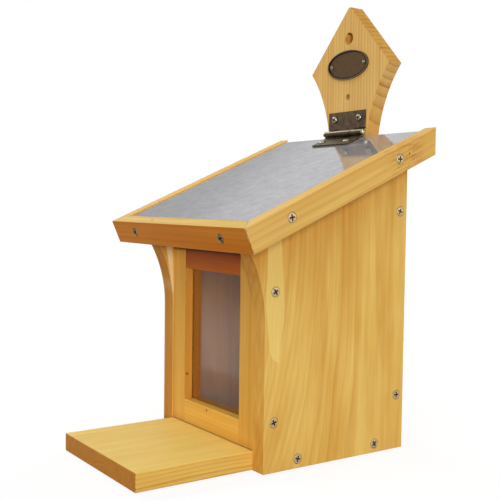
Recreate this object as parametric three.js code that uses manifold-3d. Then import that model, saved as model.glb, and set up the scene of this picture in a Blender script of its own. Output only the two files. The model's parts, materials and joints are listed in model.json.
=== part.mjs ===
// Squirrel feeder box: a pine box with a sloping, metal-clad lid on a butt hinge, a framed
// window in front, a landing board that is one piece with the floor, and a tall backboard
// with a hanging hole. Millimetres, +X to the right, +Y to the back, +Z up.

import * as THREE from 'three';
import { mergeVertices } from 'three/addons/utils/BufferGeometryUtils.js';
import Module from 'manifold-3d';

const wasm = await Module();
wasm.setup();

// General sizes
const boardThickness = 15;
const fitGap = 0.3; // left between pieces that are cut or turned to fit each other
const cutOverrun = 1; // how far a cutting shape runs past the face that it opens
const weldDistance = 1e-4;

// Box
const boxInnerWidth = 129;
const boxDepth = 148.5;
const boxBackHeight = 255.7; // side panel height at its back edge
const roofSlope = THREE.MathUtils.degToRad(23.5);
const landingReach = 103; // floor board in front of the side panels
const flareStartHeight = 118; // where the side panels' front edge starts to curve forward
const flareReach = 20.6; // how far forward it has come at the lid

// Window frame and pane
const frameRecess = 0.7;
const frameDepth = 18.5;
const stileWidth = 21;
const bottomRailHeight = 21;
const topRailHeight = 37.9; // at the frame's front, under the line of the side panels' top
const paneThickness = 2;
const grooveDepth = 5;
const lidLineGap = 0.5; // between the frame's top and the line of the side panels' top

// Lid
const lidSideOverhang = 29; // past the side panels
const battenThickness = 12.5;
const battenHeight = 21;
const battenProud = 1; // how far the battens stand above the sheet metal
const battenBackOverhang = 3; // behind the box
const sheetThickness = 1;
const lidBackGap = 0.6; // from the lid board to the backboard
const flareTipGap = 0.7; // from the side panels' tips to the front batten

// Backboard
const backboardRise = 137.6; // from the box's back edge to the backboard's point
const shoulderFromTop = 56.3;
const shoulderHalfWidth = 54;
const neckRise = 3.3; // from the box's back edge to where the concave sides turn upright
const neckHalfWidth = 25.3;
const topHalfWidth = 1;
const hangingHoleRadius = 5.5;
const hangingHoleFromTop = 28.6;
const pilotHoleRadius = 1.3;
const pilotHoleDepth = 8;
const pilotHoleFromTop = 81.6;

// Butt hinge
const hingeLength = 50.8;
const leafReach = 20.3; // from the pin's axis to the leaf's far edge
const leafThickness = 1.2;
const pinRadius = 1.2;
const pinHeadReach = 2.8; // how far the domed heads stand out past the knuckles
const middleKnuckleLength = 22;
const barrelStandOff = 4.5; // from the pin's axis to the face that a leaf is screwed to
const leafBendStart = 5; // where a leaf starts to bend towards its knuckle
const leafScrewSpacing = 34;
const leafScrewReach = 13.6; // from the pin's axis

// Oval plate on the backboard
const plateHalfWidth = 27.7;
const plateHalfHeight = 13.4;
const plateFromTop = 52.9;
const plateBaseThickness = 1.2;
const plateRimThickness = 0.8;
const plateRimWidth = 1.8;
const platePinSpacing = 44.6;

// Fasteners: the cone under a countersunk head is as deep as it is wide
const woodScrew = { headRadius: 4, headRim: 0.4, shankRadius: 2, tipLength: 5 };
const leafScrew = { headRadius: 3.3, headRim: 0.4, shankRadius: 1.3, tipLength: 3 };
const platePin = { headRadius: 2, headHeight: 1.1, shankRadius: 0.7, tipLength: 1 };
const leafScrewLength = 12;
const leafScrewProud = 0.3;
const platePinLength = 9;
const backboardScrewLength = 25;
const tipWall = 1.5; // wood left between a screw's tip and the pane's groove
const frameScrewShares = [0.208, 0.746]; // of the window frame's top
const backScrewShares = [0.183, 0.804]; // of the box's height at the back
const floorScrewShares = [0.23, 0.784]; // of the box's depth
const battenScrewFromFront = 42;
const battenScrewFromBack = 48;
const frontBattenScrewFromSide = 38.5;
const backboardScrewShares = [0.15, 0.5, 0.85]; // of the box's height at the back

// Facets
const screwSides = 16;
const pinSides = 12;
const boreSides = 24;
const arcSteps = 16;
const plateSteps = 48;
const domeSteps = 4;

// Sizes that follow
const innerX = boxInnerWidth / 2;
const outerX = innerX + boardThickness;
const slopeCos = Math.cos(roofSlope);
const slopeSin = Math.sin(roofSlope);
const slopeTan = Math.tan(roofSlope);
const panelTopAt = (y) => boxBackHeight - (boxDepth - y) * slopeTan;
const backPanelFront = boxDepth - boardThickness;
const windowBottom = boardThickness + bottomRailHeight;
const frameBack = frameRecess + frameDepth;
const frameMiddle = frameRecess + frameDepth / 2;
const frameTop = panelTopAt(frameRecess) - lidLineGap;
const windowTop = frameTop - topRailHeight;
const grooveWidth = paneThickness + 2 * fitGap;
const lidHalfWidth = outerX + lidSideOverhang;
const lidInnerX = lidHalfWidth - battenThickness;

// The lid is built in a frame of its own: x across, y up the slope, z square to the roof. Its
// origin is where the side panels' sloping top meets their back edge.
const lidBoardBottom = fitGap;
const lidBoardTop = lidBoardBottom + boardThickness;
const sheetBottom = lidBoardTop + fitGap;
const sheetTop = sheetBottom + sheetThickness;
const battenTop = sheetTop + battenProud;
const battenBottom = battenTop - battenHeight;
// Where an upright plane that lies this far behind the box crosses the lid's frame
const plumbAt = (behindBox, z) => (behindBox + z * slopeSin) / slopeCos;
const flareTipLidY = plumbAt(-flareReach - boxDepth, 0);
const lidInnerFront = flareTipLidY - flareTipGap;
const lidFront = lidInnerFront - battenThickness;
const lidBoardMiddle = lidBoardBottom + boardThickness / 2;

// The pin's axis stands off the backboard and the sheet metal by the same distance
const pinAxisY = boxDepth - barrelStandOff;
const pinAxisLidZ = sheetTop + fitGap + barrelStandOff;
const pinAxisLidY = plumbAt(-barrelStandOff, pinAxisLidZ);
const pinAxisZ = boxBackHeight + pinAxisLidY * slopeSin + pinAxisLidZ * slopeCos;
const boreRadius = pinRadius + fitGap;
const knuckleRadius = boreRadius + leafThickness;

// Materials
const plainWood = (color) => new THREE.MeshStandardMaterial({ color, roughness: 0.6 });
const metal = (color, roughness) => new THREE.MeshStandardMaterial({ color, roughness, metalness: 1 });
const pine = plainWood(0xd7aa55);
const framePine = plainWood(0xb8823a);
const battenPine = plainWood(0xddb562);
const sheetMetal = metal(0xb4b4b9, 0.3);
const bronze = metal(0x50463a, 0.45);
const zincSteel = metal(0xc8bf96, 0.35);
const clearPane = new THREE.MeshStandardMaterial({
  color: 0xc9c4bd,
  roughness: 0.1,
  transparent: true,
  opacity: 0.4,
});

// Turns a closed geometry into a solid, dropping the triangles that have no area at a pole
function solidFrom(geometry, matrix = new THREE.Matrix4()) {
  const moved = geometry.clone().applyMatrix4(matrix);
  moved.deleteAttribute('normal');
  moved.deleteAttribute('uv');
  const welded = mergeVertices(moved, weldDistance);
  const corners = welded.index.array;
  const kept = [];
  for (let i = 0; i < corners.length; i += 3) {
    const [a, b, c] = corners.slice(i, i + 3);
    if (a !== b && b !== c && c !== a) kept.push(a, b, c);
  }
  const mesh = new wasm.Mesh({
    numProp: 3,
    vertProperties: new Float32Array(welded.attributes.position.array),
    triVerts: new Uint32Array(kept),
  });
  return new wasm.Manifold(mesh);
}

function geometryFrom(solid) {
  const mesh = solid.getMesh();
  const geometry = new THREE.BufferGeometry();
  geometry.setAttribute('position', new THREE.BufferAttribute(mesh.vertProperties, 3));
  geometry.setIndex(new THREE.BufferAttribute(mesh.triVerts, 1));
  return geometry;
}

// A box between two corners
function block([x0, y0, z0], [x1, y1, z1]) {
  const box = new THREE.BoxGeometry(x1 - x0, y1 - y0, z1 - z0);
  const middle = new THREE.Matrix4().makeTranslation((x0 + x1) / 2, (y0 + y1) / 2, (z0 + z1) / 2);
  return solidFrom(box, middle);
}

// An outline drawn in the plane of two axes, given a thickness along the third from `start`
function slab(shape, axes, start, thickness, curveSegments = arcSteps) {
  const extruded = new THREE.ExtrudeGeometry(shape, {
    depth: thickness,
    bevelEnabled: false,
    curveSegments,
  });
  const [along, up, through] = axes;
  const turn = new THREE.Matrix4().makeBasis(along, up, through);
  const shift = through.clone().multiplyScalar(start);
  return solidFrom(extruded, turn.setPosition(shift));
}

const unitX = new THREE.Vector3(1, 0, 0);
const unitY = new THREE.Vector3(0, 1, 0);
const unitZ = new THREE.Vector3(0, 0, 1);
const sideView = [unitY, unitZ, unitX]; // outline in y and z, thickness along x
const planView = [unitX, unitY, unitZ]; // outline in x and y, thickness along z
const backView = [unitX.clone().negate(), unitZ, unitY]; // outline in -x and z, thickness along y

function outline(points) {
  return new THREE.Shape(points.map(([a, b]) => new THREE.Vector2(a, b)));
}

// A revolved profile of [radius, height] points from the tip up, turned so that it points
// from `head` along `direction`, with the head's top at height 0
function revolved(profile, sides, head, direction) {
  const points = profile.map(([radius, height]) => new THREE.Vector2(radius, height));
  const turn = new THREE.Quaternion().setFromUnitVectors(unitY.clone().negate(), direction);
  const place = new THREE.Matrix4().makeRotationFromQuaternion(turn).setPosition(...head);
  return solidFrom(new THREE.LatheGeometry(points, sides), place);
}

// Countersunk screw, its flat top at height 0. `grow` widens it into the hole that it needs,
// and `rise` lifts the hole's mouth clear of the face.
function screwProfile({ headRadius, headRim, shankRadius, tipLength }, length, grow = 0, rise = 0) {
  const coneBottom = -headRim - (headRadius - shankRadius);
  return [
    [0, -length - grow],
    [shankRadius + grow, -length + tipLength],
    [shankRadius + grow, coneBottom],
    [headRadius + grow, -headRim],
    [headRadius + grow, rise],
    [0, rise],
  ];
}

// Round-headed pin: the head's flat underside is at height 0
function pinProfile({ headRadius, headHeight, shankRadius, tipLength }, length) {
  const dome = [];
  for (let i = 0; i <= domeSteps; i++) {
    const angle = (i / domeSteps) * (Math.PI / 2);
    dome.push([headRadius * Math.cos(angle), headHeight * Math.sin(angle)]);
  }
  dome[domeSteps][0] = 0;
  return [[0, -length], [shankRadius, -length + tipLength], [shankRadius, 0], ...dome];
}

function pinHoleProfile({ shankRadius }, length) {
  const radius = shankRadius + fitGap;
  return [[0, -length - fitGap], [radius, -length - fitGap], [radius, cutOverrun], [0, cutOverrun]];
}

// Box and lid pieces by name, each a solid with its material
const boxPieces = new Map();
const lidPieces = new Map();

function cutFrom(pieces, names, tool) {
  for (const name of names) {
    const piece = pieces.get(name);
    piece.solid = piece.solid.subtract(tool);
  }
}

function driveScrew(pieces, name, kind, length, head, direction, through, proud = 0) {
  const top = new THREE.Vector3(...head).addScaledVector(direction, -proud);
  const hole = revolved(screwProfile(kind, length, fitGap, cutOverrun), screwSides, top, direction);
  cutFrom(pieces, through, hole);
  const screw = revolved(screwProfile(kind, length), screwSides, top, direction);
  pieces.set(name, { solid: screw, material: zincSteel });
}

// Side panel: upright front edge that flares forward in an arc, sloping top, square bottom
const flareTipHeight = panelTopAt(-flareReach);
const flareRise = flareTipHeight - flareStartHeight;
const flareRadius = (flareRise ** 2 + flareReach ** 2) / (2 * flareReach);

function sidePanel(startX) {
  const shape = new THREE.Shape();
  shape.moveTo(0, 0);
  shape.lineTo(boxDepth, 0);
  shape.lineTo(boxDepth, boxBackHeight);
  shape.lineTo(-flareReach, flareTipHeight);
  shape.absarc(-flareRadius, flareStartHeight, flareRadius, Math.asin(flareRise / flareRadius), 0, true);
  shape.closePath();
  return slab(shape, sideView, startX, boardThickness);
}

function backPanel() {
  const points = [
    [backPanelFront, 0],
    [boxDepth, 0],
    [boxDepth, boxBackHeight],
    [backPanelFront, panelTopAt(backPanelFront)],
  ];
  return slab(outline(points), sideView, -innerX, boxInnerWidth);
}

// Upright of the window frame, from its section: a groove for the pane runs down its inner
// edge. `side` is 1 on the right and -1 on the left.
function stile(side) {
  const outer = side * innerX;
  const inner = side * (innerX - stileWidth);
  const grooveEnd = side * (innerX - stileWidth + grooveDepth);
  const points = [
    [outer, frameRecess],
    [outer, frameBack],
    [inner, frameBack],
    [inner, frameMiddle + grooveWidth / 2],
    [grooveEnd, frameMiddle + grooveWidth / 2],
    [grooveEnd, frameMiddle - grooveWidth / 2],
    [inner, frameMiddle - grooveWidth / 2],
    [inner, frameRecess],
  ];
  return slab(outline(points), planView, boardThickness, frameTop - boardThickness);
}

// Rail between the stiles, grooved along the edge that faces the window
function rail(farEdge, windowEdge) {
  const grooveEnd = windowEdge + Math.sign(farEdge - windowEdge) * grooveDepth;
  const points = [
    [frameRecess, farEdge],
    [frameBack, farEdge],
    [frameBack, windowEdge],
    [frameMiddle + grooveWidth / 2, windowEdge],
    [frameMiddle + grooveWidth / 2, grooveEnd],
    [frameMiddle - grooveWidth / 2, grooveEnd],
    [frameMiddle - grooveWidth / 2, windowEdge],
    [frameRecess, windowEdge],
  ];
  const length = boxInnerWidth - 2 * stileWidth;
  return slab(outline(points), sideView, -length / 2, length);
}

function windowPane() {
  const reach = grooveDepth - fitGap;
  const halfWidth = innerX - stileWidth + reach;
  return block(
    [-halfWidth, frameMiddle - paneThickness / 2, windowBottom - reach],
    [halfWidth, frameMiddle + paneThickness / 2, windowTop + reach],
  );
}

// Backboard: pointed top, straight shoulders, sides that sweep in along an arc to the neck
const backboardHeight = boxBackHeight + backboardRise;
const shoulderHeight = backboardHeight - shoulderFromTop;
const neckHeight = boxBackHeight + neckRise;
const plateHeight = backboardHeight - plateFromTop;
const neckInset = shoulderHalfWidth - neckHalfWidth;
const sweepRise = shoulderHeight - neckHeight;
const neckArcRadius = (sweepRise ** 2 + neckInset ** 2) / (2 * neckInset);
const neckArcAngle = Math.asin(sweepRise / neckArcRadius);
const neckArcCentreX = neckHalfWidth + neckArcRadius;

function backboard() {
  const shape = new THREE.Shape();
  shape.moveTo(-neckHalfWidth, 0);
  shape.lineTo(neckHalfWidth, 0);
  shape.lineTo(neckHalfWidth, neckHeight);
  shape.absarc(neckArcCentreX, neckHeight, neckArcRadius, Math.PI, Math.PI - neckArcAngle, true);
  shape.lineTo(topHalfWidth, backboardHeight);
  shape.lineTo(-topHalfWidth, backboardHeight);
  shape.lineTo(-shoulderHalfWidth, shoulderHeight);
  shape.absarc(-neckArcCentreX, neckHeight, neckArcRadius, neckArcAngle, 0, true);
  shape.closePath();
  return slab(shape, backView, boxDepth, boardThickness);
}

function roundCut(radius, depth, sides, mouth, direction) {
  const profile = [[0, -depth], [radius, -depth], [radius, cutOverrun], [0, cutOverrun]];
  return revolved(profile, sides, mouth, direction);
}

function backboardHoles() {
  const hangingMouth = [0, boxDepth, backboardHeight - hangingHoleFromTop];
  const pilotMouth = [0, boxDepth, backboardHeight - pilotHoleFromTop];
  const throughDepth = boardThickness + cutOverrun;
  const hanging = roundCut(hangingHoleRadius, throughDepth, boreSides, hangingMouth, unitY);
  const pilot = roundCut(pilotHoleRadius, pilotHoleDepth, pinSides, pilotMouth, unitY);
  return hanging.add(pilot);
}

// Oval plate: a flat base with a raised rim round its edge
function ovalPlate() {
  const ellipse = (inset) => {
    const path = new THREE.Shape();
    path.absellipse(0, plateHeight, plateHalfWidth - inset, plateHalfHeight - inset, 0, 2 * Math.PI);
    return path;
  };
  const full = plateBaseThickness + plateRimThickness;
  const front = boxDepth - full;
  const rimmed = slab(ellipse(0), backView, front, full, plateSteps);
  const field = slab(
    ellipse(plateRimWidth),
    backView,
    front - cutOverrun,
    plateRimThickness + cutOverrun,
    plateSteps,
  );
  return rimmed.subtract(field);
}

// Hinge leaf, drawn in its own plane: `toWall` runs from the pin's axis square to the face it
// is screwed to, `outward` runs along that face away from the pin. A rolled knuckle leaves
// the plate in a shallow bend, goes round the pin and stops just short of itself.
const plateFace = barrelStandOff - leafThickness;
const rollGapAngle = (fitGap + leafThickness) / boreRadius;

function leafPlate(view) {
  const points = [
    [plateFace, leafBendStart],
    [barrelStandOff, leafBendStart],
    [barrelStandOff, leafReach],
    [plateFace, leafReach],
  ];
  return slab(outline(points), view, -hingeLength / 2, hingeLength);
}

function knuckle(view, startX, length) {
  const shape = new THREE.Shape();
  shape.moveTo(plateFace, leafBendStart + leafThickness);
  shape.lineTo(plateFace, leafBendStart);
  shape.absarc(0, 0, boreRadius, 0, rollGapAngle - 2 * Math.PI, true);
  shape.absarc(0, 0, knuckleRadius, rollGapAngle - 2 * Math.PI, 0, false);
  shape.lineTo(barrelStandOff, leafBendStart);
  shape.lineTo(barrelStandOff, leafBendStart + leafThickness);
  shape.closePath();
  return slab(shape, view, startX, length);
}

const halfMiddle = middleKnuckleLength / 2;
const outerKnuckleLength = (hingeLength - middleKnuckleLength) / 2 - fitGap;

function upperLeaf() {
  const leaf = leafPlate(sideView).add(knuckle(sideView, -halfMiddle, middleKnuckleLength));
  return leaf.translate(0, pinAxisY, pinAxisZ);
}

function lowerLeaf() {
  const view = [unitZ.clone().negate(), unitY.clone().negate(), unitX.clone().negate()];
  const leaf = leafPlate(view)
    .add(knuckle(view, -hingeLength / 2, outerKnuckleLength))
    .add(knuckle(view, hingeLength / 2 - outerKnuckleLength, outerKnuckleLength));
  return leaf.translate(0, pinAxisLidY, pinAxisLidZ);
}

function hingePin() {
  const headStart = hingeLength / 2 + fitGap;
  const cap = (end) => {
    const points = [];
    for (let i = 0; i <= domeSteps; i++) {
      const angle = (i / domeSteps) * (Math.PI / 2);
      points.push([knuckleRadius * Math.cos(angle), end * (headStart + pinHeadReach * Math.sin(angle))]);
    }
    points[domeSteps][0] = 0;
    return points;
  };
  const lower = cap(-1).reverse();
  const profile = [...lower, [pinRadius, -headStart], [pinRadius, headStart], ...cap(1)];
  return revolved(profile, screwSides, [0, pinAxisY, pinAxisZ], unitX);
}

// Lid pieces in the lid's own frame
function lidLayer(bottom, top) {
  const points = [
    [lidInnerFront + fitGap, bottom],
    [plumbAt(-lidBackGap, bottom), bottom],
    [plumbAt(-lidBackGap, top), top],
    [lidInnerFront + fitGap, top],
  ];
  const halfWidth = lidInnerX - fitGap;
  return slab(outline(points), sideView, -halfWidth, 2 * halfWidth);
}

// The battens meet in mitres at the front corners, each cut back by half of the gap there
const mitreSetback = fitGap / Math.SQRT2;

function frontBatten() {
  const points = [
    [-lidHalfWidth + mitreSetback, lidFront],
    [lidHalfWidth - mitreSetback, lidFront],
    [lidInnerX - mitreSetback, lidInnerFront],
    [-lidInnerX + mitreSetback, lidInnerFront],
  ];
  return slab(outline(points), planView, battenBottom, battenHeight);
}

function sideBatten(side) {
  const points = [
    [lidFront, battenBottom],
    [plumbAt(battenBackOverhang, battenBottom), battenBottom],
    [plumbAt(battenBackOverhang, battenTop), battenTop],
    [lidFront, battenTop],
  ];
  const startX = side > 0 ? lidInnerX : -lidHalfWidth;
  const square = slab(outline(points), sideView, startX, battenThickness);
  const cornerX = side * (lidHalfWidth + cutOverrun);
  const mitre = outline([
    [cornerX, lidFront + mitreSetback - cutOverrun],
    [side * (lidInnerX - cutOverrun), lidInnerFront + mitreSetback + cutOverrun],
    [side * (lidInnerX - cutOverrun), lidFront - cutOverrun],
    [cornerX, lidFront - cutOverrun],
  ]);
  return square.subtract(slab(mitre, planView, battenBottom - cutOverrun, battenHeight + 2 * cutOverrun));
}

function buildBox() {
  boxPieces.set('floor_board', {
    solid: block([-innerX, -landingReach, 0], [innerX, backPanelFront, boardThickness]),
    material: pine,
  });
  boxPieces.set('side_panel_right', { solid: sidePanel(innerX), material: pine });
  boxPieces.set('side_panel_left', { solid: sidePanel(-outerX), material: pine });
  boxPieces.set('back_panel', { solid: backPanel(), material: pine });
  boxPieces.set('stile_right', { solid: stile(1), material: framePine });
  boxPieces.set('stile_left', { solid: stile(-1), material: framePine });
  boxPieces.set('bottom_rail', { solid: rail(boardThickness, windowBottom), material: framePine });
  boxPieces.set('top_rail', { solid: rail(frameTop, windowTop), material: framePine });
  boxPieces.set('window_pane', { solid: windowPane(), material: clearPane });
  boxPieces.set('backboard', { solid: backboard().subtract(backboardHoles()), material: pine });
}

// Six screws through each side panel: two into the window frame's upright, two into the back
// panel's edge and two into the floor board's edge
function fastenSides() {
  const bite = stileWidth - grooveDepth - tipWall;
  const backMiddle = (backPanelFront + boxDepth) / 2;
  for (const [side, name] of [[1, 'right'], [-1, 'left']]) {
    const panel = `side_panel_${name}`;
    const places = [
      ...frameScrewShares.map((share) => [frameMiddle, share * frameTop, `stile_${name}`]),
      ...backScrewShares.map((share) => [backMiddle, share * boxBackHeight, 'back_panel']),
      ...floorScrewShares.map((share) => [share * boxDepth, boardThickness / 2, 'floor_board']),
    ];
    places.forEach(([y, z, into], i) => {
      const head = [side * outerX, y, z];
      const inward = unitX.clone().multiplyScalar(-side);
      const length = boardThickness + bite;
      driveScrew(boxPieces, `side_screw_${name}_${i + 1}`, woodScrew, length, head, inward, [panel, into]);
    });
  }
}

function fastenBackboard() {
  backboardScrewShares.forEach((share, i) => {
    const head = [0, boxDepth + boardThickness, share * boxBackHeight];
    const name = `backboard_screw_${i + 1}`;
    const into = ['backboard', 'back_panel'];
    driveScrew(boxPieces, name, woodScrew, backboardScrewLength, head, unitY.clone().negate(), into);
  });
}

function addHingeAndPlate() {
  boxPieces.set('hinge_leaf_upper', { solid: upperLeaf(), material: bronze });
  boxPieces.set('hinge_pin', { solid: hingePin(), material: bronze });
  boxPieces.set('oval_plate', { solid: ovalPlate(), material: bronze });
  for (const [side, name] of [[1, 'right'], [-1, 'left']]) {
    const screwHead = [(side * leafScrewSpacing) / 2, pinAxisY + plateFace, pinAxisZ + leafScrewReach];
    const into = ['hinge_leaf_upper', 'backboard'];
    const screw = `upper_leaf_screw_${name}`;
    driveScrew(boxPieces, screw, leafScrew, leafScrewLength, screwHead, unitY, into, leafScrewProud);
    const pinHead = [(side * platePinSpacing) / 2, boxDepth - plateBaseThickness - fitGap, plateHeight];
    const hole = revolved(pinHoleProfile(platePin, platePinLength), pinSides, pinHead, unitY);
    cutFrom(boxPieces, ['oval_plate', 'backboard'], hole);
    const pin = revolved(pinProfile(platePin, platePinLength), pinSides, pinHead, unitY);
    boxPieces.set(`plate_pin_${name}`, { solid: pin, material: zincSteel });
  }
}

function buildLid() {
  lidPieces.set('lid_board', { solid: lidLayer(lidBoardBottom, lidBoardTop), material: pine });
  lidPieces.set('roof_sheet', { solid: lidLayer(sheetBottom, sheetTop), material: sheetMetal });
  lidPieces.set('front_batten', { solid: frontBatten(), material: battenPine });
  lidPieces.set('batten_right', { solid: sideBatten(1), material: battenPine });
  lidPieces.set('batten_left', { solid: sideBatten(-1), material: battenPine });
  lidPieces.set('hinge_leaf_lower', { solid: lowerLeaf(), material: bronze });
}

function fastenLid() {
  const length = 2 * battenThickness + tipWall;
  const battenBack = plumbAt(battenBackOverhang, battenTop);
  const down = unitZ.clone().negate();
  for (const [side, name] of [[1, 'right'], [-1, 'left']]) {
    const inward = unitX.clone().multiplyScalar(-side);
    const places = [lidFront + battenScrewFromFront, battenBack - battenScrewFromBack];
    places.forEach((y, i) => {
      const head = [side * lidHalfWidth, y, lidBoardMiddle];
      const into = [`batten_${name}`, 'lid_board'];
      driveScrew(lidPieces, `batten_screw_${name}_${i + 1}`, woodScrew, length, head, inward, into);
    });
    const frontHead = [side * (lidHalfWidth - frontBattenScrewFromSide), lidFront, lidBoardMiddle];
    const frontInto = ['front_batten', 'lid_board'];
    driveScrew(lidPieces, `front_batten_screw_${name}`, woodScrew, length, frontHead, unitY, frontInto);
    const leafFace = sheetTop + fitGap + leafThickness;
    const leafHead = [(side * leafScrewSpacing) / 2, pinAxisLidY - leafScrewReach, leafFace];
    const leafInto = ['hinge_leaf_lower', 'roof_sheet', 'lid_board'];
    const screw = `lower_leaf_screw_${name}`;
    driveScrew(lidPieces, screw, leafScrew, leafScrewLength, leafHead, down, leafInto, leafScrewProud);
  }
}

function addPieces(group, pieces) {
  for (const [name, { solid, material }] of pieces) {
    const mesh = new THREE.Mesh(geometryFrom(solid), material);
    mesh.name = name;
    group.add(mesh);
  }
  return group;
}

buildBox();
fastenSides();
fastenBackboard();
addHingeAndPlate();
buildLid();
fastenLid();

const box = addPieces(new THREE.Group(), boxPieces);
const lid = addPieces(new THREE.Group(), lidPieces);
lid.position.set(0, boxDepth, boxBackHeight);
lid.rotation.x = roofSlope;

// The origin is under the middle of the whole feeder, on the plane that its floor stands on
const feeder = new THREE.Group();
feeder.add(box, lid);
feeder.position.y = (landingReach - boxDepth - boardThickness) / 2;

export default feeder;
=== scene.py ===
# %% [markdown]
# # A pine feeder box, from its frame to its finish
# The frame holds the feeder's exact solids: fifteen-millimetre boards, a window frame with a
# pane in a groove, a sloping lid under sheet metal, a butt hinge, and the screws that hold it
# all. The boards are right in size but every edge is razor sharp and every surface is bare.
# This notebook gives each board the softened edges of sanded wood, drives proper screws with
# cross recesses, and gives wood, sheet metal, plating and plastic their finishes.

# %% Load the frame
import json
import math

import bmesh
import bpy
import numpy as np
from mathutils import Euler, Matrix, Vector

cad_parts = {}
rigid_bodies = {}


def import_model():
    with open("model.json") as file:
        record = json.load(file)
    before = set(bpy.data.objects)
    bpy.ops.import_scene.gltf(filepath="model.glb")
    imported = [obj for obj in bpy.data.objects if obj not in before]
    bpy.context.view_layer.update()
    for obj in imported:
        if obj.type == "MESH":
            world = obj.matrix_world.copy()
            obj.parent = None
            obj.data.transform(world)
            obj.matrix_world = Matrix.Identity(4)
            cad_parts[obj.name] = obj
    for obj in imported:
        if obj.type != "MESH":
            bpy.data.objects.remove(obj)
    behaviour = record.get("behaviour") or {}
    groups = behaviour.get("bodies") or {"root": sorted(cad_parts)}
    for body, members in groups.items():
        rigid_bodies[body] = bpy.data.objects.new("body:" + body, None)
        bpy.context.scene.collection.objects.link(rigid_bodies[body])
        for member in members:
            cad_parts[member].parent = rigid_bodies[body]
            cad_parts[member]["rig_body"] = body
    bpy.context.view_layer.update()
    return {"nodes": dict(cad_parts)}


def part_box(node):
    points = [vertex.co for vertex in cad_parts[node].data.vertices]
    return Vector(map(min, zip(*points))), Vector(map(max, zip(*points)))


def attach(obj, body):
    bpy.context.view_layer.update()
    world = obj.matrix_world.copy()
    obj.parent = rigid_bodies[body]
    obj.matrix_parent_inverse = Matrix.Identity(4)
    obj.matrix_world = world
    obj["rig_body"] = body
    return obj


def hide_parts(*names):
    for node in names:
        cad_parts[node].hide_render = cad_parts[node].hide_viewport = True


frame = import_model()
mm = 0.001


def new_object(name, data):
    """An object in the scene that shows this data."""
    made = bpy.data.objects.new(name, data)
    bpy.context.scene.collection.objects.link(made)
    return made


# %% [markdown]
# ## The camera
# A photograph pins the camera down: long parallel edges of the boards give its direction, and
# how fast they shrink gives its distance. Here it stands a little above the lid's middle,
# looks almost level, and leans by less than a degree. The lens is a short telephoto, which is
# what a product photographer picks so that near corners don't bulge.

# %% Place the camera
camera_place = Vector((613.9, -413.9, 210.9)) * mm
camera_turn = 55.40  # degrees round the feeder, from straight in front towards its right
camera_tilt = 3.11   # degrees below the horizon
camera_lean = 0.74   # degrees of roll
sensor_width = 36.0
lens_length = 61.9

camera_data = bpy.data.cameras.new("product_camera")
camera_data.sensor_width = sensor_width
camera_data.lens = lens_length
camera = new_object("product_camera", camera_data)
turn = Euler((0, 0, math.radians(camera_turn))).to_matrix()
tilt = Euler((math.radians(90 - camera_tilt), 0, 0)).to_matrix()
lean = Euler((0, 0, math.radians(camera_lean))).to_matrix()
camera.matrix_world = (turn @ tilt @ lean).to_4x4()
camera.location = camera_place
bpy.context.scene.camera = camera
print("camera looks along", [round(v, 4) for v in -(turn @ tilt @ lean).col[2]])

# %% [markdown]
# ## Nodes by the handful
# A material is a small graph. One helper is enough to build any of it: it adds a node, sets
# its properties and sockets by name, and links the sockets that are given another node.
# Colours are written as the hex values a paint chart would give, and one function turns them
# into the linear values that light is worked out in.

# %% A helper for nodes and one for colours
smooth = {"interpolation_type": "SMOOTHSTEP"}
painted = {"data_type": "RGBA"}
tinted = {"data_type": "RGBA", "blend_type": "MULTIPLY"}


def linear(hex_colour):
    """sRGB hex to linear RGBA: low values are divided by 12.92, the rest raised to 2.4."""
    parts = [int(hex_colour[i:i + 2], 16) / 255 for i in (1, 3, 5)]
    return (*[c / 12.92 if c <= 0.04045 else ((c + 0.055) / 1.055) ** 2.4 for c in parts], 1.0)


def add(tree, kind, settings=None, stops=(), **sockets):
    """A new node of that kind. Settings are its properties, or its operation alone. Stops are
    a ramp's (position, grey or hex colour). Sockets are its inputs in use, by name (with _ for
    a space) or by position (as in_0). Each is a number, a hex colour, another node's output,
    or another node, which stands for its first output in use."""
    node = tree.nodes.new("ShaderNode" + kind)
    if isinstance(settings, str):
        settings = {"operation": settings}
    for name, value in (settings or {}).items():
        setattr(node, name, value)
    for _ in stops[2:]:
        node.color_ramp.elements.new(0.5)
    for stop, (position, tone) in zip(node.color_ramp.elements if stops else (), stops):
        stop.position = position
        stop.color = linear(tone) if isinstance(tone, str) else (tone, tone, tone, 1.0)
    for name, value in sockets.items():
        in_use = [socket for socket in node.inputs if socket.enabled]
        key = name.replace("_", " ")
        socket = in_use[int(name[3:])] if name.startswith("in_") else next(
            socket for socket in in_use if socket.name == key)
        if isinstance(value, bpy.types.Node):
            value = next(output for output in value.outputs if output.enabled)
        if isinstance(value, bpy.types.NodeSocket):
            tree.links.new(value, socket)
        else:
            socket.default_value = linear(value) if isinstance(value, str) else value
    return node


def blank_material(name):
    """An empty material, its node tree, and a point's coordinates and normal on the piece."""
    material = bpy.data.materials.new(name)
    material.use_nodes = True
    tree = material.node_tree
    tree.nodes.clear()
    where = add(tree, "TexCoord").outputs
    return material, tree, where["Object"], where["Normal"]


print("white in linear light:", linear("#ffffff"))

# %% [markdown]
# ## Studio
# The lid casts hardly any shadow on the side below it, so the main light stands low, near the
# camera. A softer one hangs overhead, turned so that the sheet metal doesn't mirror it, one
# stands behind, a weak one on the left, and a white room is round them. Suns stand in for the
# lights, because a sun lights the floor evenly however far it goes. The camera sees the room
# as paper white. Mirrors and clear things see white walls, grey higher up, and a floor that is
# brightest some way in front, as if the feeder stood near a table's edge; that gives metal its
# shape and the pane its veil. What lights the wood is dimmer still, so that its colour isn't
# washed out.

# %% Light, room and floor
seen_white = 1.0
room_light = 0.34
floor_seen = 0.82


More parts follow.
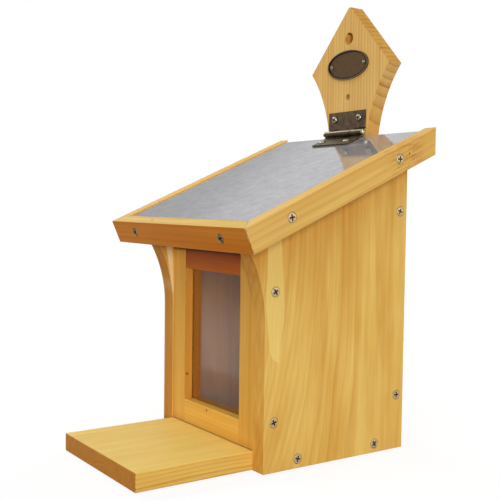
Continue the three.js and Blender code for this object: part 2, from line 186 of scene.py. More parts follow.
def seen_directly(tree):
    """1 where the ray comes from the camera, a mirror or a clear thing, otherwise 0. A ray that
    met matt wood on its way only carries light, so it counts as 0 as well."""
    rays = add(tree, "LightPath").outputs
    shown = rays["Is Camera Ray"]
    for kind in ("Is Glossy Ray", "Is Transmission Ray"):
        shown = add(tree, "Math", "MAXIMUM", in_0=shown, in_1=rays[kind])
    straight = add(tree, "Math", "LESS_THAN", in_0=rays["Diffuse Depth"], in_1=0.5)
    return add(tree, "Math", "MULTIPLY", in_0=shown, in_1=straight)


world = bpy.data.worlds.new("white_room")
bpy.context.scene.world = world
world.use_nodes = True
room = world.node_tree
room.nodes.clear()
height = add(room, "SeparateXYZ", Vector=add(room, "TexCoord").outputs["Generated"]).outputs["Z"]
overhead = add(room, "ValToRGB", Fac=height, stops=[
    (0.0, 0.95), (0.12, 0.95), (0.33, 0.36), (0.385, 0.47), (0.415, 0.72), (1.0, 0.85)])
by_camera = add(room, "LightPath").outputs["Is Camera Ray"]
mirrored = add(room, "Mix", Factor=by_camera, A=overhead, B=seen_white)
dim = add(room, "Background", Color="#f6f8ff", Strength=room_light)
bright = add(room, "Background", Color="#ffffff", Strength=mirrored)
add(room, "OutputWorld", Surface=add(room, "MixShader", Fac=seen_directly(room), in_1=dim, in_2=bright))


def soft_sun(name, turn, climb, strength, spread, tint, mirrored=True):
    """A far lamp. turn is degrees from straight in front towards the feeder's right, climb is
    degrees above the horizon, strength is the share of white that it gives a face turned
    straight to it, and spread, its width in degrees, sets how soft its shadows are. A lamp
    that isn't mirrored lights matt surfaces only, as if it were turned away from the metal."""
    lamp = bpy.data.lights.new(name, "SUN")
    lamp.energy = strength * math.pi
    lamp.angle = math.radians(spread)
    lamp.color = linear(tint)[:3]
    sun = new_object(name, lamp)
    sun.visible_glossy = mirrored
    level = math.cos(math.radians(climb))
    towards = Vector((level * math.sin(math.radians(turn)), -level * math.cos(math.radians(turn)),
                      math.sin(math.radians(climb))))
    sun.rotation_mode = "QUATERNION"
    sun.rotation_quaternion = towards.to_track_quat("Z", "Y")


soft_sun("low_key", 58, 5, 0.62, 18, "#fffaf2")
soft_sun("overhead_softbox", 30, 64, 0.38, 60, "#fffdf8", mirrored=False)
soft_sun("back_fill", 190, 14, 0.50, 24, "#fffdf8")
soft_sun("left_fill", 272, 30, 0.24, 24, "#fafcff")

floor_half = 30.0
floor_drop = 0.3 * mm
floor_mesh = bpy.data.meshes.new("studio_floor")
corners = floor_half * np.array([(-1, -1, 0), (1, -1, 0), (1, 1, 0), (-1, 1, 0)], float)
corners[:, 2] = -floor_drop
floor_mesh.from_pydata(corners.tolist(), [], [(0, 1, 2, 3)])
studio_floor = new_object("studio_floor", floor_mesh)

paper, tree, place, _ = blank_material("matt_white_paper")
lit = add(tree, "BsdfDiffuse", Color="#959595")
shaded = add(tree, "BsdfDiffuse", Color="#808080")
in_front = add(tree, "SeparateXYZ", Vector=place).outputs["Y"]
ahead = add(tree, "MapRange", Value=in_front, From_Max=-1.0)
pool = add(tree, "ValToRGB", Fac=ahead, stops=[
    (0.0, 0.33), (0.2, 0.33), (0.206, 0.72), (0.42, 0.66), (0.62, 0.34), (0.8, 0.2)])
by_camera = add(tree, "LightPath").outputs["Is Camera Ray"]
level = add(tree, "Mix", Factor=by_camera, A=pool, B=floor_seen)
shown = add(tree, "AddShader", in_0=shaded, in_1=add(tree, "Emission", Color="#ffffff", Strength=level))
surface = add(tree, "MixShader", Fac=seen_directly(tree), in_1=lit, in_2=shown)
add(tree, "OutputMaterial", Surface=surface)
floor_mesh.materials.append(paper)
bpy.context.scene.view_settings.view_transform = "Standard"
print("lamps:", [lamp.name for lamp in bpy.data.lights])

# %% [markdown]
# ## Pine, as a tree grew it
# A board is a slice of a trunk. Its lines are where the year rings, which are nested cylinders
# round the pith, meet the sawn faces: long streaks on the faces, arcs on the ends, and short
# bands where a curve is cut across the grain. A flat wood pattern gets one of those right. So
# the rings are worked out in space, as the distance from a pith line that runs along the
# grain, some way outside the board, and bent by slow noise. The early wood of each year is
# honey yellow and darkens to an orange-brown line, which ends sharply where the next year
# starts.

# %% Directions, faces and rings
roof_slope = math.radians(23.5)
up_slope = (0, math.cos(roof_slope), math.sin(roof_slope))
out_of_roof = (0, -math.sin(roof_slope), math.cos(roof_slope))
along_x = (0, math.radians(90), 0)
along_y = (math.radians(-90), 0, 0)
along_z = (0, 0, 0)
along_roof = (roof_slope - math.radians(90), 0, 0)


def looking(tree, normal, direction, start, full, both_ways=True):
    """0 to 1 by how nearly a face looks along a direction: the dot product of the two, from
    start to full."""
    facing = add(tree, "VectorMath", "DOT_PRODUCT", in_0=normal, in_1=direction)
    if both_ways:
        facing = add(tree, "Math", "ABSOLUTE", in_0=facing)
    return add(tree, "MapRange", smooth, Value=facing, From_Min=start, From_Max=full)


def bent_place(tree, board, upright, wander, fan):
    """The place in a board, moved by slow noise so that its lines stray: noise less a half,
    times twice wander. fan also bends an upright board's lines: (shift backwards, heights
    where it starts and is full, depths where it starts and is full), all in mm."""
    # Its lumps are about 70 mm across the grain and 300 mm along it
    drawn_out = add(tree, "Mapping", Vector=board, Scale=(14, 14, 3.2))
    bend = add(tree, "TexNoise", Vector=drawn_out, Scale=1.0, Detail=2.5, Roughness=0.5)
    centred = add(tree, "VectorMath", "SUBTRACT", in_0=bend.outputs["Color"], in_1=(0.5, 0.5, 0.5))
    strayed = add(tree, "VectorMath", "SCALE", in_0=centred, Scale=2 * wander * mm)
    moved = add(tree, "VectorMath", "ADD", in_0=board, in_1=strayed)
    if not fan:
        return moved
    shift, heights, depths = fan
    apart = add(tree, "SeparateXYZ", Vector=upright).outputs
    down = add(tree, "MapRange", Value=apart["Z"], From_Min=heights[0] * mm, From_Max=heights[1] * mm)
    steep = add(tree, "Math", "POWER", in_0=down, in_1=1.5)
    ahead = add(tree, "MapRange", Value=apart["Y"], From_Min=depths[0] * mm,
                From_Max=depths[1] * mm, To_Max=shift * mm)
    bent = add(tree, "Math", "MULTIPLY", in_0=steep, in_1=ahead)
    return add(tree, "VectorMath", "ADD", in_0=moved, in_1=add(tree, "CombineXYZ", Y=bent))


def year_lines(tree, place, pith, ring, contrast, gain):
    """How dark the wood is with the season, 0 to 1. The distance from the pith line, divided
    by the rings' spacing, is the year; its fraction is the season. Each year draws its own
    strength, and gain makes faces bolder. Four hundredths of the distance along the grain
    count too, because a trunk narrows slowly (its taper)."""
    taper = 0.04
    weakest_year = 0.35
    from_pith = add(tree, "Mapping", Vector=place, Location=(-pith[0] * mm, -pith[1] * mm, 0),
                    Scale=(1, 1, taper))
    radius = add(tree, "VectorMath", "LENGTH", in_0=from_pith)
    years = add(tree, "Math", "DIVIDE", in_0=radius, in_1=ring * mm)
    late = add(tree, "ValToRGB", Fac=add(tree, "Math", "FRACT", in_0=years), stops=[
        (0.0, 0.25), (0.06, 0.0), (0.45, 0.12), (0.80, 0.55), (0.94, 1.0), (1.0, 0.35)])
    year = add(tree, "Math", "FLOOR", in_0=years)
    luck = add(tree, "TexWhiteNoise", {"noise_dimensions": "1D"}, W=year)
    strength = add(tree, "MapRange", Value=luck, To_Min=weakest_year * contrast, To_Max=contrast)
    strength = add(tree, "Math", "MULTIPLY", in_0=strength, in_1=gain)
    return add(tree, "Math", {"operation": "MULTIPLY", "use_clamp": True}, in_0=late, in_1=strength)


print("the roof climbs", round(up_slope[2] / up_slope[1], 3), "mm for each mm back")

# %% [markdown]
# ## What else shows in pine
# The youngest wood, under the bark, is a paler streak with crisp sides; on the left panel a
# whitish streak is a painted light patch instead. Oil goes in patchily and the ends drink more
# of it. Faces are tinted by the way they look, partly edges that drank more oil and partly
# painted shade, and wood under the lid gets painted shade, more orange. Then there are marks
# that cover the wood: a darker line along a joint, a band of painted shadow along the window
# frame's top, pale filler rubbed into a mitre, short dark flecks, and small knots where a twig
# grew out. Each function here gives one of these as a share from 0 to 1, so that the material
# can lay them over the rings in turn.

# %% Streaks, bands and marks
def streak_mask(tree, y, z, points):
    """1 inside a streak on an upright board, 0 outside it. Its two edges run straight between
    points (height, front edge, rear edge), in mm from low to high."""
    blur = 0.5
    low, high = points[0][0], points[-1][0]
    front, rear = min(point[1] for point in points) - 1, max(point[2] for point in points) + 1
    climb = add(tree, "MapRange", Value=z, From_Min=low * mm, From_Max=high * mm)
    sides = []
    for side in (1, 2):
        edge = add(tree, "ValToRGB", Fac=climb, stops=[
            ((point[0] - low) / (high - low), (point[side] - front) / (rear - front))
            for point in points])
        sides.append(add(tree, "MapRange", Value=edge, To_Min=front * mm, To_Max=rear * mm))
    behind = add(tree, "Math", "SUBTRACT", in_0=y, in_1=sides[0])
    ahead = add(tree, "Math", "SUBTRACT", in_0=sides[1], in_1=y)
    above = add(tree, "Math", "SUBTRACT", in_0=z, in_1=low * mm)
    least = add(tree, "Math", "MINIMUM", in_0=behind, in_1=ahead)
    least = add(tree, "Math", "MINIMUM", in_0=least, in_1=above)
    return add(tree, "MapRange", smooth, Value=least, From_Min=-blur * mm, From_Max=blur * mm)


def under_the_lid(tree, place, start, fade):
    """Painted shade under the lid: 1 there, fading downwards. The distance square to the roof's
    slope counts: the band is full at start, fades over that many mm below it, and ends a little
    above it, where the lid covers the wood."""
    nearest, furthest = 2.4, 3.4
    out = add(tree, "VectorMath", "DOT_PRODUCT", in_0=place, in_1=out_of_roof)
    below = add(tree, "MapRange", Value=out, From_Min=(start - fade) * mm, From_Max=start * mm)
    above = add(tree, "MapRange", Value=out, From_Min=(start + furthest) * mm,
                From_Max=(start + nearest) * mm)
    return add(tree, "Math", "MULTIPLY", in_0=below, in_1=above)


def dirt_and_shade_band(tree, height, at, fade, share):
    """A darker level band: share at that height, down to 0 at fade mm above and below. It is darker
    towards the frame's foot joint, and painted shade along the frame's top under the lid.
    """
    off = add(tree, "Math", "SUBTRACT", in_0=height, in_1=at * mm)
    off = add(tree, "Math", "ABSOLUTE", in_0=off)
    return add(tree, "MapRange", smooth, Value=off, From_Max=fade * mm, To_Min=share, To_Max=0.0)


def round_spot(tree, place, middle, inner, outer, share):
    """share within inner mm of a point, down to 0 at outer mm from it."""
    gap = add(tree, "VectorMath", "DISTANCE", in_0=place, in_1=Vector(middle) * mm)
    return add(tree, "MapRange", smooth, Value=gap, From_Min=inner * mm, From_Max=outer * mm,
               To_Min=share, To_Max=0.0)


def flecks(tree, place, board, middle, reach):
    """Dark fibres, 1.4 mm wide and 14 mm long, in a patch of that reach in mm: where fine
    noise is high, less towards the patch's edge."""
    patch = round_spot(tree, place, middle, 0.3 * reach, reach, 0.7)
    drawn_out = add(tree, "Mapping", Vector=board, Scale=(700, 700, 70))
    fleck = add(tree, "TexNoise", Vector=drawn_out, Scale=1.0, Detail=4.0, Roughness=0.7)
    dark = add(tree, "MapRange", Value=fleck, From_Min=0.47, From_Max=0.66)
    return add(tree, "Math", "MULTIPLY", in_0=dark, in_1=patch)


def mitre_filler(tree, place, constant):
    """Filler in a mitre: the cut is where side + distance up the slope is that constant, in
    mm. The filler reaches as far as widest from it, and noise of 3 mm breaks it up."""
    widest = 1.4
    side = add(tree, "SeparateXYZ", Vector=place).outputs["X"]
    run = add(tree, "VectorMath", "DOT_PRODUCT", in_0=place, in_1=up_slope)
    total = add(tree, "Math", "ADD", in_0=add(tree, "Math", "ABSOLUTE", in_0=side), in_1=run)
    off = add(tree, "Math", "SUBTRACT", in_0=total, in_1=constant * mm)
    patch = add(tree, "TexNoise", Vector=place, Scale=330.0, Detail=3.0, Roughness=0.7)
    reach = add(tree, "MapRange", Value=patch, From_Min=0.47, From_Max=0.68, To_Max=widest * mm)
    near = add(tree, "Math", "LESS_THAN", in_0=add(tree, "Math", "ABSOLUTE", in_0=off), in_1=reach)
    return add(tree, "Math", "MULTIPLY", in_0=near, in_1=0.6)


def board_centre(node):
    """The middle of a CAD node, in mm."""
    low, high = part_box(node)
    return tuple((low + high) / 2 / mm)


print("floor board is centred at", [round(v, 1) for v in board_centre("floor_board")], "mm")

# %% [markdown]
# ## Oiled pine
# Now the layers come together: rings, fibres, oil and painted shade, the paler streak (young
# wood, and on the left panel a painted light patch), and at last the marks, one of them painted
# shade. Oiled wood is satin, some streaks are a little rougher, and the hard late wood lies
# lower than the soft wood that swelled.

# %% The pine material
filler_colour = "#ecdcbc"
fleck_colour = "#ac6424"
end_tone = "#cfa368"


def oiled_pine(name, node, grain, pith, ring=3.6, contrast=0.4, wander=3.0, streaks=0.5,
               honey="#e2b665", amber="#c98d45", bolder=((1, 0, 0), 1.0), end_gain=1.8,
               end_from=0.6, soaked=0.4, fan=None, tones=(), sheltered=(), pale=None, seams=(),
               filled=None, flecked=None, pins=()):
    """Planed and oiled pine for a CAD node: satin, streaked, darker on the ends.
    grain turns z to the grain's direction; pith is the pith line's place across the grain from
    the board's centre, and ring the spacing of the years, both in mm. contrast is how dark the
    late wood gets, and wander how far the lines stray, in mm. bolder is a direction and how
    many times bolder the lines are on faces that look along it, and end_gain is the same for
    the ends; end_from is how far a face must have turned to count as one. soaked is how
    patchily the oil has gone in. fan is as bent_place says.
    tones are (direction, tint) of faces tinted by the way they look: partly edges that drank
    more oil, partly painted shade. sheltered are (start, fade, tint) of bands of painted shade
    under the lid. pale is a paler streak, sapwood on the right panel and a painted light patch on
    the left: (colour, share, points of its edges). seams are darker level bands: (height, fade,
    share, colour), darker towards the frame's foot joint and painted shade under the lid. filled
    is a mitre's constant, flecked a patch's (middle, reach), and pins small knots, each (place,
    radius, colour)."""
    material, tree, place, normal = blank_material(name)
    apart = add(tree, "SeparateXYZ", Vector=place).outputs
    board = add(tree, "Mapping", {"vector_type": "TEXTURE"}, Vector=place,
                Location=Vector(board_centre(node)) * mm, Rotation=grain)
    moved = bent_place(tree, board, place, wander, fan)

    # Rings, bolder on the ends and on some faces
    ends = looking(tree, normal, Euler(grain).to_matrix() @ Vector((0, 0, 1)), end_from, 0.97)
    flank = looking(tree, normal, bolder[0], 0.5, 0.9)
    on_ends = add(tree, "MapRange", Value=ends, To_Min=1.0, To_Max=end_gain)
    on_flank = add(tree, "MapRange", Value=flank, To_Min=1.0, To_Max=bolder[1])
    gain = add(tree, "Math", "MULTIPLY", in_0=on_ends, in_1=on_flank)
    lines = year_lines(tree, moved, pith, ring, contrast, gain)
    coloured = add(tree, "Mix", painted, Factor=lines, A=honey, B=amber)

    # Fibres: streaks 6 mm wide and long as the board, and finer ones, 0.7 mm wide, in them
    drawn_out = add(tree, "Mapping", Vector=moved, Scale=(170, 170, 2.6))
    streak = add(tree, "TexNoise", Vector=drawn_out, Scale=1.0, Detail=3.0, Roughness=0.6)
    drawn_out = add(tree, "Mapping", Vector=board, Scale=(1400, 1400, 22))
    fibre = add(tree, "TexNoise", Vector=drawn_out, Scale=1.0, Detail=2.0, Roughness=0.6)
    warm = add(tree, "MapRange", Value=streak, From_Min=0.35, From_Max=0.68, To_Max=streaks)
    coloured = add(tree, "Mix", tinted, Factor=warm, A=coloured, B="#e9c6a2")
    grey = add(tree, "MapRange", Value=fibre, From_Min=0.3, From_Max=0.7, To_Min=0.94, To_Max=1.05)
    coloured = add(tree, "VectorMath", "SCALE", in_0=coloured, Scale=grey)

    # Patches 20 mm wide and 90 mm long that took up more oil or less than the rest
    drawn_out = add(tree, "Mapping", Vector=moved, Scale=(48, 48, 11))
    oil = add(tree, "TexNoise", Vector=drawn_out, Scale=1.0, Detail=2.0, Roughness=0.6)
    thirst = add(tree, "MapRange", Value=oil, From_Min=0.36, From_Max=0.64)
    dry = tuple(1 + soaked * more for more in (0.05, 0.09, 0.16))
    wet = tuple(1 - soaked * less for less in (0.05, 0.12, 0.24))
    patches = add(tree, "Mix", {"data_type": "VECTOR"}, Factor=thirst, A=dry, B=wet)
    coloured = add(tree, "VectorMath", "MULTIPLY", in_0=coloured, in_1=patches)

    # Ends that drink more oil; faces tinted by the way they look, partly oil and partly painted
    # shade; and bands of painted shade under the lid
    oiled = [(ends, end_tone)]
    oiled += [(looking(tree, normal, direction, 0.4, 0.9, both_ways=False), tint)
              for direction, tint in tones]
    oiled += [(under_the_lid(tree, place, start, fade), tint) for start, fade, tint in sheltered]
    for share, tint in oiled:
        coloured = add(tree, "Mix", tinted, Factor=share, A=coloured, B=tint)

    # Pale streaks (sapwood, and on the left panel a painted light patch) and marks (one of them
    # painted shade), each over what was there before
    marks = []
    if pale:
        tint, share, points = pale
        inside = streak_mask(tree, apart["Y"], apart["Z"], points)
        inside = add(tree, "Math", "MULTIPLY", in_0=inside, in_1=share)
        marks.append((inside, add(tree, "VectorMath", "SCALE", in_0=linear(tint)[:3], Scale=grey)))
    # Darker level bands: towards the frame's foot joint, and painted shade along the frame's top under
    # the lid.
    marks += [(dirt_and_shade_band(tree, apart["Z"], at, fade, share), colour)
              for at, fade, share, colour in seams]
    if filled:
        marks.append((mitre_filler(tree, place, filled), filler_colour))
    if flecked:
        marks.append((flecks(tree, place, board, *flecked), fleck_colour))
    marks += [(round_spot(tree, place, middle, 0.5 * size, 1.4 * size, 0.85), colour)
              for middle, size, colour in pins]
    for share, colour in marks:
        coloured = add(tree, "Mix", painted, Factor=share, A=coloured, B=colour)

    shine = add(tree, "MapRange", Value=streak, From_Min=0.3, From_Max=0.7, To_Min=0.4, To_Max=0.55)
    relief = add(tree, "Math", "SUBTRACT", in_0=fibre, in_1=lines)
    bump = add(tree, "Bump", Strength=0.35, Distance=0.06 * mm, Height=relief)
    wood = add(tree, "BsdfPrincipled", Base_Color=coloured, Roughness=shine, IOR=1.5,
               Specular_IOR_Level=0.14, Normal=bump)
    add(tree, "OutputMaterial", Surface=wood)
    return material


# %% [markdown]
# ## Sanded edges
# Nothing made of wood has a perfectly sharp edge: after sawing, a pass with sandpaper takes off
# about a millimetre, and that thin rounded strip catches the light all round the box. Its
# outlines, holes and curves are already right in the frame, so each board here is a copy of
# its solid, with its loose triangles welded and its flat faces joined up again. The long sharp
# edges are then bevelled, but not those of the screw holes, nor those where two pieces were
# cut and glued flush.

# %% Copy a solid and ease its long edges
def put_in_place(node, ending, mesh, material, crease):
    """Make a finished mesh stand for a CAD node, on the same body. It is smooth up to that
    crease angle, in degrees."""
    mesh.polygons.foreach_set("use_smooth", [True] * len(mesh.polygons))
    mesh.set_sharp_from_angle(angle=math.radians(crease))
    mesh.materials.append(material)
    piece = new_object(node + ending, mesh)
    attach(piece, frame["nodes"][node]["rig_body"])
    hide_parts(node)
    return piece


def eased_copy(node, radius, material, longest_hole_edge=1.5, keep_sharp=None):
    """A welded copy of a CAD node whose edges are rounded to that radius in mm. Edges shorter
    than longest_hole_edge (mm), and those keep_sharp(middle in mm) picks, stay as they are."""
    least_turn, steps = math.radians(35), 3
    shell = bmesh.new()
    shell.from_mesh(frame["nodes"][node].data)
    bmesh.ops.remove_doubles(shell, verts=shell.verts, dist=0.002 * mm)
    bmesh.ops.dissolve_limit(shell, angle_limit=math.radians(0.2), verts=shell.verts,
                             edges=shell.edges, delimit={"NORMAL"})
    picked = []
    for edge in shell.edges:
        if len(edge.link_faces) != 2 or edge.calc_face_angle(0) < least_turn:
            continue
        if edge.calc_length() < longest_hole_edge * mm:
            continue
        middle = (edge.verts[0].co + edge.verts[1].co) / 2 / mm
        if keep_sharp is None or not keep_sharp(middle):
            picked.append(edge)
    bmesh.ops.bevel(shell, geom=picked, offset=radius * mm, segments=steps, profile=0.5,
                    affect="EDGES", clamp_overlap=True)
    mesh = bpy.data.meshes.new(node + "_worked")
    shell.to_mesh(mesh)
    shell.free()
    piece = put_in_place(node, "_worked", mesh, material, 40)
    piece.modifiers.new("flat_faces_stay_flat", "WEIGHTED_NORMAL").keep_sharp = True
    print(node, "eased on", len(picked), "edges")
    return piece


def work_board(node, edge, name, grain, keep_sharp=None, **wood):
    """Ease a board's edges and oil it. Returns its wood, for another board cut from it."""
    pine = oiled_pine(name, node, grain, **wood)
    eased_copy(node, edge, pine, keep_sharp=keep_sharp)
    return pine


# %% [markdown]
# ## The boards of the box
# The floor runs out in front as the landing board, with its grain from front to back, so its
# front edge shows end grain. The side panels, the back and the backboard stand with their
# grain upright. The window frame is thin stock, glued flush at its joints, so its edges are
# eased only a little. Its top rail, right under the lid, gets the most painted shade: it is the
# most orange, and darker towards its top.

# %% Work the boards of the box
board_edge = 0.9
frame_edge = 0.35
knot = "#6a3414"
lid_edge = min(vertex.co.z * out_of_roof[2] + vertex.co.y * out_of_roof[1]
               for vertex in frame["nodes"]["batten_right"].data.vertices) / mm
print("the lid's edge hangs to", round(lid_edge, 1), "mm, square to the roof")
# Painted shade under the lid: the side panels darken and turn more orange towards the lid's edge.
lid_shade = [(lid_edge, 34.0, "#f4dfca")]
foot_seams = [(15.0, 9.0, 0.3, "#9a5a1e"), (15.0, 1.5, 0.9, "#5b3212")]
# A dark band of painted shadow along the window frame's top, just below the lid's front edge.
painted_lid_shadow = (170.5, 3.2, 0.85, "#4a2109")
sapwood_edges = [(86, -16.5, -16), (90.5, -23, -16), (95, -25, -15.5), (104, -26.5, -14.5),
                 (118, -28, -12), (132, -29.3, -11.5), (145, -29.3, -12.5), (170, -28.5, -14.5),
                 (215, -28.5, -17)]
# Edges of a painted light patch on the left panel's flare, given like the sapwood's edges.
painted_light_edges = [(130, -30.5, -29.5), (168, -37, -31), (176, -38, -31), (200, -40, -31)]

# The tones tint faces by the way they look: partly edges that drank more oil, partly painted shade on
# faces that get less light.
work_board("floor_board", board_edge, "landing_pine_oiled", along_y, pith=(10, 30), ring=1.6,
           contrast=0.12, wander=2.6, streaks=0.16, honey="#f8d775", amber="#b4692a",
           bolder=((1, 0, 0), 5.5), end_gain=8.5, end_from=0.1, tones=[((1, 0, 0), "#fbeede")])
work_board("side_panel_right", board_edge, "right_panel_pine_oiled", along_z, pith=(60, 60),
           ring=4.4, contrast=0.36, wander=6.0, streaks=0.42, honey="#f2c96b", amber="#cf8c3f",
           soaked=1.0, fan=(34.0, (175.0, 0.0), (75.0, -25.0)), sheltered=lid_shade,
           tones=[((0, -1, 0), "#f2e2c6")], pale=("#fad87c", 0.85, sapwood_edges))
# Its whitish streak near the front edge is a painted light patch, not sapwood.
work_board("side_panel_left", board_edge, "left_panel_pine_oiled", along_z, pith=(-70, -30),
           ring=5.0, contrast=0.35, wander=8.0, streaks=0.45, honey="#e6bb62", amber="#cc9045",
           sheltered=lid_shade, tones=[((0, -1, 0), "#e6cba6")],
           pale=("#f2dfb4", 0.75, painted_light_edges))
work_board("back_panel", frame_edge, "back_panel_pine_oiled", along_z, pith=(30, 55), ring=4.5,
           contrast=0.35, wander=8.0, streaks=0.35)
work_board("backboard", board_edge, "backboard_pine_oiled", along_z, pith=(140, 12), ring=3.9,
           contrast=0.75, streaks=0.4, honey="#f4cc7a", amber="#cb8842", bolder=((1, 0, 0), 1.6),
           tones=[((0.9, 0, 0.44), "#e8d8c0"), ((-0.9, 0, 0.44), "#e8d8c0"),
                  ((0.6, 0, 0.8), "#eef2c1"), ((-0.6, 0, 0.8), "#eef2c1")],
           pins=[((0.0, 118.25, 311.0), 2.9, "#a9632e")])
frame_pine = work_board(
    "stile_left", frame_edge, "window_stile_pine_oiled", along_z, pith=(40, 60), ring=3.4,
    honey="#e9b552", amber="#cc893a", tones=[((1, 0, 0), "#e7d7cc"), ((-1, 0, 0), "#e7d7cc")],
    seams=foot_seams + [painted_lid_shadow], pins=[((-43.5, -26.9, 58.2), 1.2, knot)])
eased_copy("stile_right", frame_edge, frame_pine)
# The top rail gets painted shade: a darker, more orange front face, and more of it towards the lid.
work_board("top_rail", frame_edge, "top_rail_pine_oiled", along_x, pith=(35, 55),
           honey="#e9b552", amber="#cc893a", tones=[((0, -1, 0), "#dda473")],
           sheltered=[(167.6, 18.0, "#cdb1d1")], seams=[painted_lid_shadow])
work_board("bottom_rail", frame_edge, "window_rail_pine_oiled", along_x, pith=(35, 55),
           contrast=0.45, honey="#efbf58", amber="#d4933f", seams=foot_seams,
           pins=[((-5.8, -29.6, 33.1), 1.1, knot)])

# %% [markdown]
# ## The lid's wood
# The lid board is hidden under the sheet metal except from below. Three battens frame it, with
# their grain running along them, and they meet at the front in mitres.

# %% Work the lid's boards
def along_slope(place):
    """How far up the roof a place lies: the part of it along the slope, in mm."""
    return place[1] * up_slope[1] + place[2] * up_slope[2]


corner = [vertex.co / mm for vertex in frame["nodes"]["front_batten"].data.vertices]
mitre = min(abs(place.x) + along_slope(place) for place in corner if abs(place.x) > 108)


def on_mitre(place):
    """True for an edge that lies in one of the two mitre cuts."""
    return abs(abs(place.x) + along_slope(place) - mitre) < 0.2


work_board("lid_board", frame_edge, "lid_board_pine_oiled", along_x, pith=(20, 60), ring=4.5,
           contrast=0.6, wander=7.0)
work_board("front_batten", board_edge, "front_batten_pine_oiled", along_x, keep_sharp=on_mitre,
           pith=(30, 40), streaks=0.4, honey="#e4c25f", amber="#c18f3e", filled=mitre,
           tones=[((0, -1, 0), "#f1b150")], pins=[((-41.4, -64.3, 195.5), 1.3, knot)])
side_batten_pine = oiled_pine(
    "side_batten_pine_oiled", "batten_right", along_roof, pith=(40, 30), contrast=0.35,
    honey="#edc56e", amber="#d49a48", filled=mitre, flecked=((108.5, 86.0, 254.0), 34.0),
    pins=[((108.5, 91.3, 253.0), 0.9, knot), ((108.5, 90.8, 263.8), 0.9, knot)])
for node in ("batten_left", "batten_right"):
    eased_copy(node, board_edge, side_batten_pine, keep_sharp=on_mitre)

# %% [markdown]
# ## Roof sheet and window pane
# The roof is a plain sheet of rolled aluminium. Rolling leaves it neither a mirror nor matt: it
# gives back a soft picture of the room, a little stretched along the rolling direction. The
# pane is a clear plastic sheet, so it shows the wood behind it and a faint picture of the room.
# Both are flat sheets whose edges are hidden in the wood, so the frame's own solids stay, and
# only their finish is new.

# %% Finish the sheet and the pane
def rolled_aluminium():
    """Rolled aluminium sheet: dull silver, a mirror at a low angle under a skin of pale oxide,
    which is why it is little more than half metallic."""
    material, tree, place, _ = blank_material("rolled_aluminium_sheet")
    # Rolling lines 11 mm apart and 70 mm long, and clouds of oxide from 11 mm down
    drawn_out = add(tree, "Mapping", Vector=place, Scale=(14, 90, 90))
    rolling = add(tree, "TexNoise", Vector=drawn_out, Scale=1.0, Detail=3.0, Roughness=0.6)
    cloud = add(tree, "TexNoise", Vector=place, Scale=90.0, Detail=8.0, Roughness=0.85)
    tone = add(tree, "MapRange", Value=cloud, From_Min=0.36, From_Max=0.64)
    colour = add(tree, "Mix", painted, Factor=tone, A="#b0b0b7", B="#d0d0d2")
    haze = add(tree, "MapRange", Value=rolling, To_Min=0.06, To_Max=0.11)
    bump = add(tree, "Bump", Strength=0.12, Distance=0.05 * mm, Height=rolling)
    metal = add(tree, "BsdfPrincipled", Base_Color=colour, Metallic=0.6, Roughness=haze, Normal=bump)
    add(tree, "OutputMaterial", Surface=metal)
    return material


def clear_sheet_plastic():
    """Clear acrylic sheet: see-through, with a faint haze of dust and fine scratches, in
    clouds of 17 mm. Lamps shine straight through it, which a bent ray of light could hardly be
    traced to do."""
    material, tree, place, _ = blank_material("clear_acrylic_sheet")
    dust = add(tree, "TexNoise", Vector=place, Scale=60.0, Detail=4.0, Roughness=0.6)
    haze = add(tree, "MapRange", Value=dust, To_Min=0.02, To_Max=0.1)
    plastic = add(tree, "BsdfPrincipled", Base_Color="#ece0d8", Roughness=haze, IOR=1.49,
                  Specular_IOR_Level=0.36, Transmission_Weight=1.0)
    through = add(tree, "BsdfTransparent", Color="#b6a89a")
    shadow = add(tree, "LightPath").outputs["Is Shadow Ray"]
    both = add(tree, "MixShader", Fac=shadow, in_1=plastic, in_2=through)
    add(tree, "OutputMaterial", Surface=both)
    return material


frame["nodes"]["roof_sheet"].material_slots[0].material = rolled_aluminium()
frame["nodes"]["window_pane"].material_slots[0].material = clear_sheet_plastic()
print("sheet and pane refinished")

# %% [markdown]
# ## Hinge and plate
# The hinge is pressed steel: each leaf is a plate rolled round the pin into knuckles, then
# plated to look like old bronze. The plating is brown, mottled with olive where it was rubbed
# back, and satin, so the barrel carries one soft line of light. Faces that look up, the barrel's
# top most, are painted paler, partly wear and partly a painted highlight. The oval plate is cast
# in the same colour, its field stippled, with a nearly black line inside its rim.

# %% Plating
plate_middle = (0.0, 117.0, 340.4)
plate_reach = (27.7, 13.4)
rim_lines = [(2.1, "#2a1c20"), (1.0, "#7c6a58")]
pin_axis = (113.75, 277.08)


def rimmed(tree, place, grit):
    """A stippled oval field, a dark line and a paler rim. The distance to the oval's outline,
    along the line from its middle, is how far a point would have to move to make its share of
    the ellipse 1: distance from the middle / share - distance."""
    softness = 0.15
    field = add(tree, "Mapping", {"vector_type": "TEXTURE"}, Vector=place,
                Location=Vector(plate_middle) * mm,
                Scale=(plate_reach[0] * mm, 1.0, plate_reach[1] * mm))
    flat = add(tree, "VectorMath", "MULTIPLY", in_0=field, in_1=(1.0, 0.0, 1.0))
    share = add(tree, "VectorMath", "LENGTH", in_0=flat)
    moved = add(tree, "Mapping", Vector=place, Location=(0, 0, -plate_middle[2] * mm), Scale=(1, 0, 1))
    reached = add(tree, "VectorMath", "LENGTH", in_0=moved)
    whole = add(tree, "Math", "DIVIDE", in_0=reached, in_1=share)
    from_edge = add(tree, "Math", "SUBTRACT", in_0=whole, in_1=reached)
    brass = add(tree, "MapRange", Value=grit, From_Min=0.3, From_Max=0.7)
    colour = add(tree, "Mix", painted, Factor=brass, A="#56432d", B="#7a6044")
    for start, tint in rim_lines:
        beyond = add(tree, "MapRange", smooth, Value=from_edge, From_Min=(start + softness) * mm,
                     From_Max=(start - softness) * mm)
        colour = add(tree, "Mix", painted, Factor=beyond, A=colour, B=tint)
    return colour


